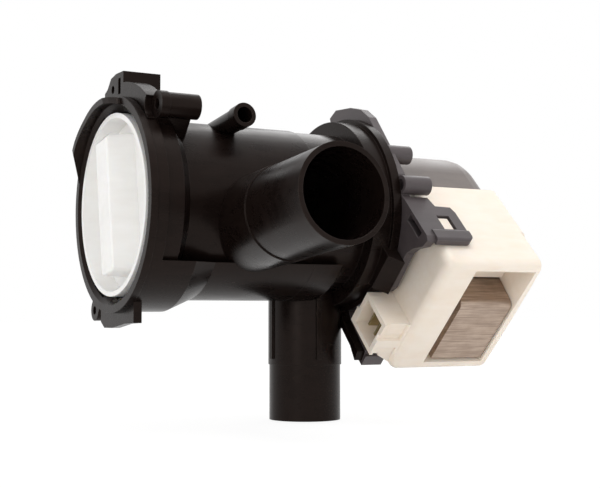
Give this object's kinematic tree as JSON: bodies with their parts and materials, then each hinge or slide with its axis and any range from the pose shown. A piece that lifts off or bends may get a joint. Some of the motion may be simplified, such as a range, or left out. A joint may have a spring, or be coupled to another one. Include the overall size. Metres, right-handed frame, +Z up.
{
  "type": "washer drain pump",
  "caption": "Drain pump with a filter tube, screw-in filter, inlet and outlet spigots and a small shaded-rotor motor with an encased stator.",
  "frame": {"origin": "centre of the filter mouth in the plane of the collar's lip", "axes": "+X along the pump axis from the mouth to the motor, +Z up, -Y towards the inlet spigot's mouth"},
  "size_m": [0.1504, 0.118, 0.1196],
  "materials": {
    "black_plastic": "satin",
    "white_plastic": "satin",
    "seal_rubber": "matte",
    "impeller_plastic": "satin",
    "dog_plastic": "satin",
    "shaft_steel": "polished",
    "ferrite": "matte",
    "bearing_bronze": "sintered",
    "washer_plastic": "satin",
    "flange_plastic": "satin",
    "shroud_plastic": "satin",
    "laminated_steel": "brushed across the laminations",
    "bobbin_plastic": "satin",
    "copper_wire": "enamelled copper wire",
    "cream_plastic": "satin",
    "terminal_brass": "tinned"
  },
  "bodies": {
    "housing": {"filter_housing": "black_plastic", "pump_chamber": "black_plastic", "inlet_spigot": "black_plastic", "outlet_spigot": "black_plastic", "bypass_nipple": "black_plastic", "screw_boss": "black_plastic", "top_bracket": "black_plastic", "screw_lug": "black_plastic", "housing_foot": "black_plastic", "chamber_seal": "seal_rubber", "shaft_seal": "seal_rubber", "bearing_carrier": "flange_plastic", "front_bearing": "bearing_bronze", "rear_bearing": "bearing_bronze", "front_bearing_mount": "seal_rubber", "rear_bearing_mount": "seal_rubber", "front_thrust_washer": "washer_plastic", "rear_thrust_washer": "washer_plastic", "motor_flange": "flange_plastic", "motor_shroud": "shroud_plastic", "stator_poles": "laminated_steel", "stator_yoke": "laminated_steel", "upper_coil_bobbin": "bobbin_plastic", "lower_coil_bobbin": "bobbin_plastic", "upper_coil_winding": "copper_wire", "lower_coil_winding": "copper_wire", "stator_cover": "cream_plastic", "upper_terminal": "terminal_brass", "lower_terminal": "terminal_brass"},
    "seal": {"cap_seal": "seal_rubber"},
    "filter": {"filter_cap": "white_plastic", "filter_comb": "white_plastic"},
    "rotor": {"rotor_shaft": "shaft_steel", "rotor_magnet": "ferrite", "magnet_hub": "dog_plastic", "drive_dog": "dog_plastic"},
    "impeller": {"impeller": "impeller_plastic", "impeller_hub_cap": "impeller_plastic"}
  },
  "joints": [
    {"name": "filter_pull", "type": "slide", "parent": "housing", "child": "seal", "axis": [-1, 0, 0], "range_m": [0, 0.075]},
    {"name": "filter_twist", "type": "hinge", "parent": "seal", "child": "filter", "pos_m": [0, 0, 0], "axis": [1, 0, 0], "range_deg": [0, 60]},
    {"name": "rotor_spin", "type": "hinge", "parent": "housing", "child": "rotor", "pos_m": [0.12, 0, 0], "axis": [1, 0, 0], "continuous": true},
    {"name": "impeller_play", "type": "hinge", "parent": "rotor", "child": "impeller", "pos_m": [0.076, 0, 0], "axis": [1, 0, 0], "range_deg": [-126, 0]}
  ]
}
